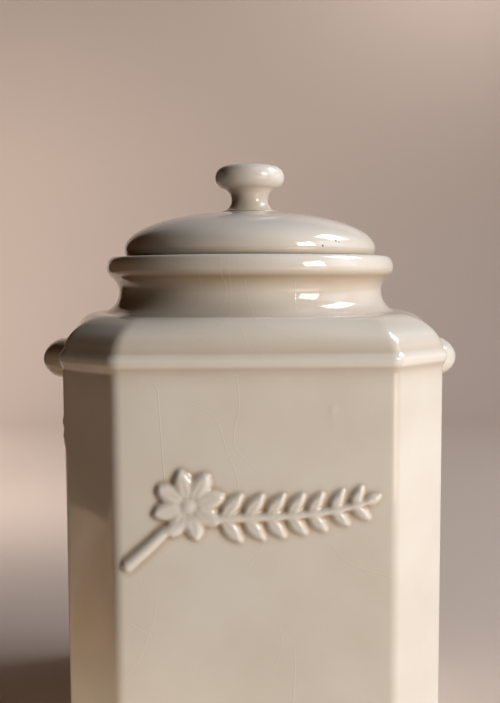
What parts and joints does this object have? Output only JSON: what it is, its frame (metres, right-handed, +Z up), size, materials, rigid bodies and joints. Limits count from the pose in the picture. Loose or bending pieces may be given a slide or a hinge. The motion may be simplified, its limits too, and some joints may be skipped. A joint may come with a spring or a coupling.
{
  "type": "biscuit jar",
  "caption": "Lidded biscuit jar: a square glazed earthenware canister with chamfered corners, a round neck with a rolled rim, side lugs, and a domed lid with a turned knob.",
  "frame": {"origin": "centre of the jar's footprint, on the surface it stands on", "axes": "+Z up along the jar's axis; -Y out of the front panel; +X to the right lug when the front panel is faced"},
  "size_m": [0.196, 0.1648, 0.2708],
  "materials": {
    "body_glaze": "warm cream glaze, glossy, with fine crazing and a darker tint where it pools",
    "lug_glaze": "warm cream glaze, glossy",
    "lid_glaze": "warm cream glaze, glossy, with a few pinholes",
    "knob_glaze": "warm cream glaze, glossy"
  },
  "bodies": {
    "jar": {"jar_body": "body_glaze", "left_lug": "lug_glaze", "right_lug": "lug_glaze"},
    "lid": {"lid": "lid_glaze", "lid_knob": "knob_glaze"}
  },
  "joints": [
    {"name": "lid_lift", "type": "slide", "parent": "jar", "child": "lid", "axis": [0, 0, 1], "range_m": [0, 0.15]}
  ]
}
